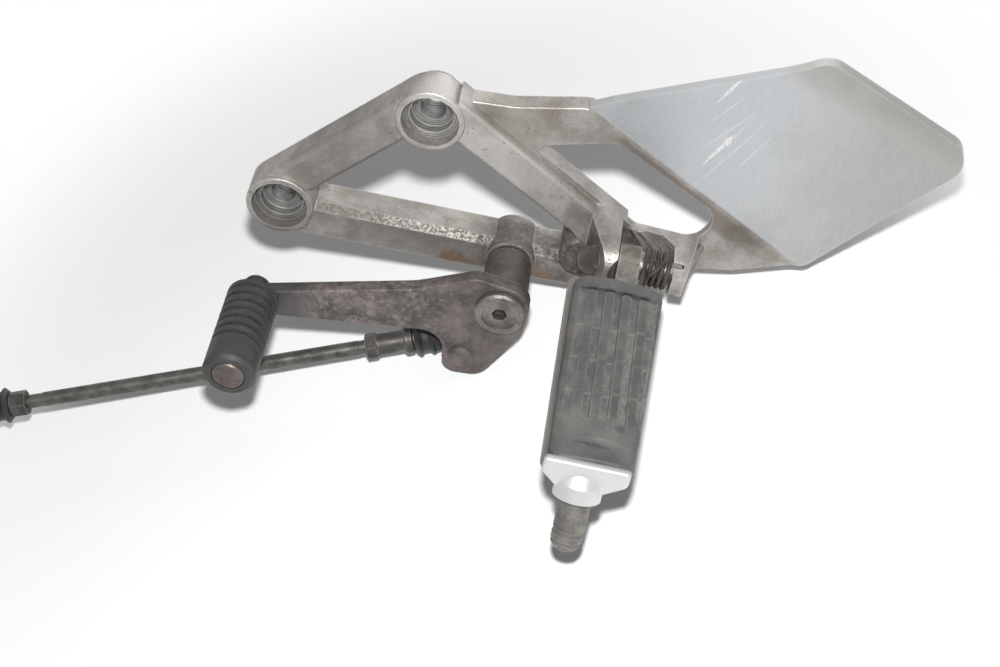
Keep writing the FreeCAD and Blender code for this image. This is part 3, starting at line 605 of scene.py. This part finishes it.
steelLook = {
    "zincSteel": {
        "nodes": ("pivot_bolt",),
        "dark": (0.105, 0.095, 0.088), "pale": (0.265, 0.245, 0.23), "rough": 0.48, "metal": 0.65,
    },
    "pinSteel": {
        "nodes": ("peg_pin", "pin_washer", "pin_clip", "rubber_bolts", "rubber_plate"),
        "dark": (0.20, 0.19, 0.175), "pale": (0.38, 0.365, 0.34), "rough": 0.45, "metal": 0.75,
    },
    "brightSteel": {
        "nodes": ("toe_pin",),
        "dark": (0.10, 0.082, 0.074), "pale": (0.20, 0.165, 0.15), "rough": 0.42, "metal": 0.7,
    },
    # near black: dark spring steel deepened with painted shade of the gap between the clevis ears
    "springSteel": {
        "nodes": ("return_spring",),
        "dark": (0.030, 0.027, 0.023), "pale": (0.10, 0.088, 0.074), "rough": 0.7, "metal": 0.2,
    },
    "feelerSteel": {
        "nodes": ("feeler",),
        "dark": (0.15, 0.142, 0.128), "pale": (0.30, 0.29, 0.262), "rough": 0.5, "metal": 0.55,
    },
    "rodSteel": {
        "nodes": ("link_rod",),
        "dark": (0.060, 0.058, 0.051), "pale": (0.185, 0.178, 0.158), "rough": 0.42, "metal": 0.7,
    },
    "capSteel": {
        "nodes": (),  # for the pin's cap, added below
        "dark": (0.038, 0.032, 0.028), "pale": (0.098, 0.084, 0.074), "rough": 0.6, "metal": 0.25,
    },
    "jointSteel": {
        "nodes": ("rear_joint", "front_joint", "rear_lock_nut", "front_lock_nut", "front_ball_stud"),
        "dark": (0.042, 0.040, 0.038), "pale": (0.115, 0.108, 0.098), "rough": 0.45, "metal": 0.6,
    },
}

steelWear = {
    "soot": (0.04, 0.035, 0.03),
    "grimeAndShade": (0.035, 0.03, 0.026),
    "edge": (0.62, 0.60, 0.56),
    "grain": {"Scale": 1500.0},
    "wear": {"Radius": 0.0006, "Breakup": 0.5},
    "shadedCrevices": {"Distance": 0.005, "Low": 0.25, "High": 0.8},
    "drawn": {"stretch": (90.0, 240.0, 420.0), "detail": 5.0, "rough": 0.6, "low": 0.35, "high": 0.7},
    "strength": {"drawn": 0.4, "specks": 0.6, "shadedCrevices": 0.75, "edge": 0.6},
    "roughSpread": (0.1, -0.06),
    "pitDepth": 0.6,
    "relief": 0.00012,
}


def plainSteel(name, look):
    shared = steelWear
    strength = shared["strength"]
    mat, t, bsdf = newMaterial(name)
    grain = use(t, castGrain, **shared["grain"])
    wear = use(t, edgeWear, **shared["wear"])["Mask"]
    shadedCrevices = use(t, creviceShade, **shared["shadedCrevices"])["Mask"]
    drawn = streaks(t, place(t), **shared["drawn"])

    base = blendColour(t, grain["Mottle"], look["dark"], look["pale"])
    base = tint(t, base, look["pale"], drawn, strength["drawn"])
    base = tint(t, base, shared["soot"], grain["Specks"], strength["specks"])
    # grime and painted shade in crevices
    base = tint(t, base, shared["grimeAndShade"], shadedCrevices, strength["shadedCrevices"])
    base = tint(t, base, shared["edge"], wear, strength["edge"])

    rough = ramp(t, grain["Mottle"], *[look["rough"] + step for step in shared["roughSpread"]])
    height = plus(t, grain["Height"], grain["Pits"], -shared["pitDepth"])
    coat(t, bsdf, base, rough, look["metal"], height, shared["relief"])
    dress(mat, *look["nodes"])
    return mat


# tread of the footpeg, with pale dust packed in its grooves

treadLook = {
    "dark": (0.088, 0.088, 0.088),
    "pale": (0.175, 0.172, 0.166),
    "dust": (0.335, 0.32, 0.29),
    "black": (0.035, 0.035, 0.036),
    "fill": (0.36, 0.35, 0.325),
    "grain": {"Scale": 1100.0},
    "wear": {"Radius": 0.0009, "Breakup": 0.55},
    "strength": {
        "cloud": 0.75, "rims": 0.7, "cutRims": 0.65, "dust": 0.8, "fill": 0.4, "barEndShade": 0.75, "smears": 0.15,
        "paintedDipShade": 0.6, "wear": 0.3, "specks": 0.35,
    },
    "cloud": {"scale": 75.0, "detail": 6.0, "rough": 0.65, "low": 0.35, "high": 0.72},
    "flecks": {"scale": 900.0, "detail": 5.0, "rough": 0.7, "low": 0.36, "high": 0.62, "start": 0.45},
    "middle": 0.1169,  # grooves along the peg
    "pitch": 0.0071,
    "groove": 0.0029,
    "grooveEdge": (0.0004, -0.0003),
    "grooveFrom": (-0.0580, -0.0588),
    "grooveTo": (-0.1315, -0.1295),
    "sides": (0.0166, 0.0158),
    "ripple": 0.0034,
    "rippleNoise": (260.0, 5.0, 0.55),  # scale, detail, roughness
    "rim": 0.0003,  # past the groove's edge
    "rimRipple": 0.35,
    "rimWidth": (0.0007, 0.0001),
    "patches": {
        "stretch": (300.0, 110.0, 60.0), "detail": 5.0, "rough": 0.65,
        "low": 0.36, "high": 0.62, "start": 0.12,
    },
    "patchSide": (0.100, 0.126, 0.6, 1.0),  # from, to, least, most
    "cuts": (-0.0789, -0.0975, -0.1161),  # cuts across the bars
    "cutRim": (0.0010, 0.0004),
    "cutInside": (0.0007, 0.0004),
    "barEndShadeAt": -0.0577,  # painted shade at the ends of the bars
    "topWidth": (0.0014, 0.0004),
    "topEdge": (-0.0002, 0.0008),
    "smearEdge": 0.012,
    "smears": (  # centre, radius
        ((0.112, -0.136, -0.006), 0.016),
        ((0.124, -0.139, -0.006), 0.013),
        ((0.104, -0.134, -0.006), 0.010),
    ),
    "paintedDipShade": (  # painted shade of the dip near the tread's end: start, end, width
        ((0.109, -0.1435, -0.0065), (0.121, -0.1445, -0.0065), 0.0022),
        ((0.122, -0.1335, -0.006), (0.126, -0.1340, -0.006), 0.0030),
    ),
    "rough": (0.55, 0.85),
    "packedHeight": -0.5,
    "relief": 0.00022,
}


def treadAreas(t, where):
    look = treadLook
    strength = look["strength"]
    at = axes(t, where)
    half = look["groove"] / 2
    column = calc(t, "DIVIDE", calc(t, "SUBTRACT", at["X"], look["middle"]), look["pitch"])
    fromLine = calc(t, "ABSOLUTE", calc(t, "SUBTRACT", column, calc(t, "ROUND", column)))
    off = times(t, fromLine, look["pitch"])
    ripple = times(t, calc(t, "SUBTRACT", noise(t, where, *look["rippleNoise"]), 0.5), look["ripple"])
    groove = fade(t, calc(t, "ADD", off, ripple), *[half + step for step in look["grooveEdge"]])
    across = nearTo(t, at["X"], look["middle"], *look["sides"])
    field = times(t, fade(t, at["Y"], *look["grooveFrom"]), fade(t, at["Y"], *look["grooveTo"]), across)
    patches = times(t, streaks(t, where, **look["patches"]), fade(t, at["X"], *look["patchSide"]))
    rim = nearTo(t, plus(t, off, ripple, look["rimRipple"]), half + look["rim"], *look["rimWidth"])
    packed = [times(t, groove, field, patches), times(t, rim, field, patches, strength["rims"])]
    for cut in look["cuts"]:
        near = nearTo(t, at["Y"], cut, *look["cutRim"])
        packed.append(times(t, near, across, patches, strength["cutRims"]))
    barEndShade = times(t, nearTo(t, at["Y"], look["barEndShadeAt"], *look["topWidth"]), across)
    return {
        "packed": strongest(t, packed),
        "cuts": [times(t, nearTo(t, at["Y"], cut, *look["cutInside"]), across) for cut in look["cuts"]],
        "barEndShade": times(t, barEndShade, fade(t, off, *[half + step for step in look["topEdge"]])),
    }


def treadRubber():
    look = treadLook
    strength = look["strength"]
    mat, t, bsdf = newMaterial("treadRubber")
    where = place(t)
    grain = use(t, castGrain, **look["grain"])
    wear = use(t, edgeWear, **look["wear"])["Mask"]
    area = treadAreas(t, where)
    cloud = clouds(t, where, **look["cloud"])
    flecks = clouds(t, where, **look["flecks"])

    base = tint(t, look["dark"], look["pale"], cloud, strength["cloud"])
    base = tint(t, base, look["dust"], area["packed"], flecks, strength["dust"])
    for cut in area["cuts"]:
        base = tint(t, base, look["fill"], cut, strength["fill"])
    # painted shade at the bar ends
    base = tint(t, base, look["black"], area["barEndShade"], strength["barEndShade"])
    for centre, radius in look["smears"]:
        base = tint(t, base, look["dust"], spotMask(t, centre, radius, look["smearEdge"]), strength["smears"])
    # painted shade of the dip near the end
    for line in look["paintedDipShade"]:
        base = tint(t, base, look["black"], strokeMask(t, *line), strength["paintedDipShade"])
    base = tint(t, base, look["dust"], wear, strength["wear"])
    base = tint(t, base, look["black"], grain["Specks"], strength["specks"])

    height = plus(t, grain["Height"], area["packed"], look["packedHeight"])
    coat(t, bsdf, base, ramp(t, area["packed"], *look["rough"]), 0.0, height, look["relief"])
    dress(mat, "peg_rubber")


# other rubber: painted shade in the toe rubber's hollows, pale dust in the boots' hollows

rubberLook = {
    "toeRubber": {
        "nodes": ("toe_rubber",),
        "dark": (0.032, 0.031, 0.031), "pale": (0.064, 0.062, 0.062), "hollow": (0.006, 0.006, 0.006),
        "depth": 0.95, "reach": 0.0025, "rough": (0.5, 0.68),
    },
    "bootRubber": {
        "nodes": ("rear_boot", "front_boot", "inner_seal", "outer_seal"),
        "dark": (0.012, 0.012, 0.012), "pale": (0.035, 0.034, 0.033), "hollow": (0.09, 0.085, 0.075),
        "depth": 0.25, "reach": 0.003, "rough": (0.5, 0.68),
    },
}

rubberWear = {
    "grain": {"Scale": 1200.0},
    "wear": {"Radius": 0.0007, "Breakup": 0.7},
    "shadedCrevices": {"Low": 0.18, "High": 0.6},
    "cloud": {"scale": 70.0, "detail": 6.0, "rough": 0.65, "low": 0.35, "high": 0.72},
    "flecks": {"scale": 520.0, "detail": 5.0, "rough": 0.7, "low": 0.42, "high": 0.62, "start": 0.35},
    "strength": {"cloud": 0.3, "wear": 0.35},
    "relief": 0.00018,
}


def hollowRubber(name, look):
    shared = rubberWear
    strength = shared["strength"]
    mat, t, bsdf = newMaterial(name)
    where = place(t)
    grain = use(t, castGrain, **shared["grain"])
    wear = use(t, edgeWear, **shared["wear"])["Mask"]
    hollow = use(t, creviceShade, Distance=look["reach"], **shared["shadedCrevices"])["Mask"]
    cloud = clouds(t, where, **shared["cloud"])
    flecks = clouds(t, where, **shared["flecks"])

    base = blendColour(t, grain["Mottle"], look["dark"], look["pale"])
    base = tint(t, base, look["pale"], cloud, strength["cloud"])
    # hollow colour: painted shade on the toe rubber, pale dust on the boots
    base = tint(t, base, look["hollow"], hollow, flecks, look["depth"])
    base = tint(t, base, look["hollow"], wear, strength["wear"])

    coat(t, bsdf, base, ramp(t, cloud, *look["rough"]), 0.0, grain["Height"], shared["relief"])
    dress(mat, *look["nodes"])


castAlloy()
pegAlloy()
leverSteel()
steels = {name: plainSteel(name, values) for name, values in steelLook.items()}
treadRubber()
for rubberName, rubberValues in rubberLook.items():
    hollowRubber(rubberName, rubberValues)
print("materials on", len(nodes), "nodes")


# small pieces at the clevis

def ringAround(centre, axis, radius, count, towards=(0.3, 0.2, 1.0)):
    side = axis.cross(Vector(towards)).normalized()
    other = axis.cross(side)
    turns = [2 * math.pi * k / count for k in range(count)]
    return [centre + (side * math.cos(a) + other * math.sin(a)) * radius for a in turns]


def addPiece(name, rings, mat, body):
    count = len(rings[0])
    last = (len(rings) - 1) * count
    faces = []
    for start in range(0, last, count):
        for k in range(count):
            after = (k + 1) % count
            faces.append((start + k, start + after, start + count + after, start + count + k))
    faces.append(tuple(reversed(range(count))))
    faces.append(tuple(range(last, last + count)))
    mesh = bpy.data.meshes.new(name)
    mesh.from_pydata([tuple(point) for ring in rings for point in ring], [], faces)
    mesh.shade_smooth()
    mesh.materials.append(mat)
    piece = bpy.data.objects.new(name, mesh)
    bpy.context.collection.objects.link(piece)
    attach(piece, body)


pinCapLook = {
    "at": (0.1039, -0.0312, -0.0158),
    "axis": (-0.45, -0.74, 0.50),
    "count": 64,
    "profile": (  # radius, height along the axis
        (0.0059, -0.0062), (0.0064, -0.0054), (0.0064, -0.0006), (0.0062, 0.0001), (0.0057, 0.0004),
        (0.0051, 0.0002), (0.0048, 0.0000), (0.0030, 0.0002), (0.0004, 0.0003),
    ),
}


def makePinCap():
    look = pinCapLook
    at = Vector(look["at"])
    axis = Vector(look["axis"]).normalized()
    rings = [ringAround(at + axis * high, axis, radius, look["count"]) for radius, high in look["profile"]]
    addPiece("pinCap", rings, steels["capSteel"], "bracket")


springLegLook = {
    "wire": 0.0008,  # radius
    "ends": (0.6, 0.9, 1.0),  # shares of the radius, from each end inwards
    "steps": 12,
    "count": 16,
    "path": (
        (0.1262, -0.0401, -0.0118), (0.1285, -0.0412, -0.0088), (0.1310, -0.0405, -0.0055),
        (0.1332, -0.0380, -0.0022), (0.1337, -0.0350, -0.0002),
    ),
}


def smoothPath(path, steps):
    stops = [Vector(point) for point in path]
    stops = [2 * stops[0] - stops[1], *stops, 2 * stops[-1] - stops[-2]]  # one more stop past each end
    line = []
    for a, b, c, d in zip(stops, stops[1:], stops[2:], stops[3:]):
        bow = 2 * a - 5 * b + 4 * c - d
        twist = 3 * b - a - 3 * c + d
        for step in range(steps):
            u = step / steps
            line.append(0.5 * (2 * b + (c - a) * u + bow * u ** 2 + twist * u ** 3))
    return [*line, stops[-2]]


def makeSpringLeg():
    look = springLegLook
    line = smoothPath(look["path"], look["steps"])
    last = len(line) - 1
    rings = []
    for k, at in enumerate(line):
        ahead = (line[min(k + 1, last)] - line[max(k - 1, 0)]).normalized()
        share = look["ends"][min(k, last - k, len(look["ends"]) - 1)]
        rings.append(ringAround(at, ahead, look["wire"] * share, look["count"]))
    addPiece("springLeg", rings, steels["springSteel"], "bracket")


makePinCap()
makeSpringLeg()
print("small pieces added")


# camera at the photograph's angle

cameraView = {
    "at": (0.056938, -0.659263, 0.527618),
    "right": (0.9784187, 0.12699902, 0.16299721),
    "up": (-0.20562578, 0.67617907, 0.70746017),
    "ahead": (0.02036855, 0.72570869, -0.68770053),
    "lens": 72.0,
    "sensor": 36.0,
    "nearest": 0.01,
}


def makeCamera():
    data = bpy.data.cameras.new("photoCamera")
    data.lens = cameraView["lens"]
    data.sensor_width = cameraView["sensor"]
    data.sensor_fit = "HORIZONTAL"
    data.clip_start = cameraView["nearest"]
    cam = bpy.data.objects.new("photoCamera", data)
    bpy.context.collection.objects.link(cam)
    sides = [Vector(cameraView["right"]), Vector(cameraView["up"]), -Vector(cameraView["ahead"])]
    turn = Matrix(sides).transposed().to_4x4()
    cam.matrix_world = Matrix.Translation(cameraView["at"]) @ turn
    bpy.context.scene.camera = cam


# pale ground behind and under the part, open from its back

groundLook = {
    "normal": (-0.3526, -0.1432, 0.9247),
    "over": (0.04, -0.06, -0.02),  # the sheet's centre is under this point
    "gap": 0.0015,
    "radius": 0.9,
    "count": 96,
    "colour": (0.98, 0.98, 0.985),
    "cloudColour": (0.965, 0.965, 0.97),
    "cloudStrength": 0.4,
    "cloud": {"scale": 9.0, "detail": 4.0, "low": 0.3, "high": 0.7},
    "lift": 0.045,  # its own glow
    "whiteFrom": (0.15, 0.31),  # distance from the centre
}


def paleGround(centre):
    look = groundLook
    mat, t, bsdf = newMaterial("paleGround")
    t.nodes.remove(bsdf)
    where = place(t)
    cloud = clouds(t, where, **look["cloud"])
    tone = tint(t, look["colour"], look["cloudColour"], cloud, look["cloudStrength"])
    sheet = put(t, "ShaderNodeBsdfDiffuse", {"Color": tone}).outputs[0]
    glow = put(t, "ShaderNodeEmission", {"Color": (1, 1, 1, 1), "Strength": look["lift"]}).outputs[0]
    paper = put(t, "ShaderNodeAddShader", {0: sheet, 1: glow}).outputs[0]
    white = put(t, "ShaderNodeEmission", {"Color": (1, 1, 1, 1), "Strength": 1.0}).outputs[0]
    far = fade(t, vec(t, "DISTANCE", where, tuple(centre)), *look["whiteFrom"])
    front = put(t, "ShaderNodeMixShader", {0: far, 1: paper, 2: white}).outputs[0]
    clear = put(t, "ShaderNodeBsdfTransparent").outputs[0]
    behind = put(t, "ShaderNodeNewGeometry").outputs["Backfacing"]
    hide = calc(t, "MAXIMUM", behind, put(t, "ShaderNodeLightPath").outputs["Is Shadow Ray"])
    both = put(t, "ShaderNodeMixShader", {0: hide, 1: front, 2: clear}).outputs[0]
    t.links.new(both, t.nodes["Material Output"].inputs["Surface"])
    return mat


def makeGround():
    look = groundLook
    up = Vector(look["normal"]).normalized()
    lowest = min(up @ v.co for obj in nodes.values() for v in obj.data.vertices) - look["gap"]
    centre = Vector(look["over"])
    centre -= up * (up @ centre - lowest)
    mesh = bpy.data.meshes.new("ground")
    ring = ringAround(centre, up, look["radius"], look["count"], towards=(0, 1, 0))
    mesh.from_pydata(ring, [], [list(range(look["count"]))])
    if mesh.polygons[0].normal @ up < 0:
        mesh.flip_normals()
    mesh.materials.append(paleGround(centre))
    ground = bpy.data.objects.new("ground", mesh)
    bpy.context.collection.objects.link(ground)


# one lamp over the camera, wide soft lamps elsewhere

lampLook = {
    "aim": (0.05, -0.05, -0.01),
    "keyLift": 0.10,  # above the camera
    "key": {"size": 0.045, "power": 7.7},
    "sky": {"at": (0.1, -0.1, 1.3), "size": 1.6, "power": 0.9},
    "rear": {"at": (0.2, 1.2, 0.4), "size": 1.2, "power": 6.0},
    "worldLight": 0.075,
    "worldGloss": 0.6,  # what shiny faces see
}


def makeLamp(name, at, size, power):
    data = bpy.data.lights.new(name, "AREA")
    data.shape = "DISK"
    data.size = size
    data.energy = power
    lamp = bpy.data.objects.new(name, data)
    lamp.location = at
    lamp.rotation_mode = "QUATERNION"
    lamp.rotation_quaternion = (Vector(lampLook["aim"]) - Vector(at)).to_track_quat("-Z", "Y")
    bpy.context.collection.objects.link(lamp)


def makeWorld():
    world = bpy.data.worlds.new("studio")
    bpy.context.scene.world = world
    world.use_nodes = True
    t = world.node_tree
    rays = put(t, "ShaderNodeLightPath").outputs
    gloss = times(t, rays["Is Glossy Ray"], lampLook["worldGloss"])
    levels = [gloss, lampLook["worldLight"], rays["Is Camera Ray"], rays["Is Transmission Ray"]]
    fill(t, t.nodes["Background"], {"Color": (1, 1, 1, 1), "Strength": strongest(t, levels)})


def makeLight():
    overCamera = Vector(cameraView["at"]) + Vector(cameraView["up"]) * lampLook["keyLift"]
    makeLamp("keyLamp", overCamera, **lampLook["key"])
    makeLamp("skyLamp", **lampLook["sky"])
    makeLamp("rearLamp", **lampLook["rear"])
    makeWorld()


makeCamera()
makeGround()
makeLight()
bpy.context.scene.view_settings.view_transform = "Standard"
print("camera, ground and lamps set")
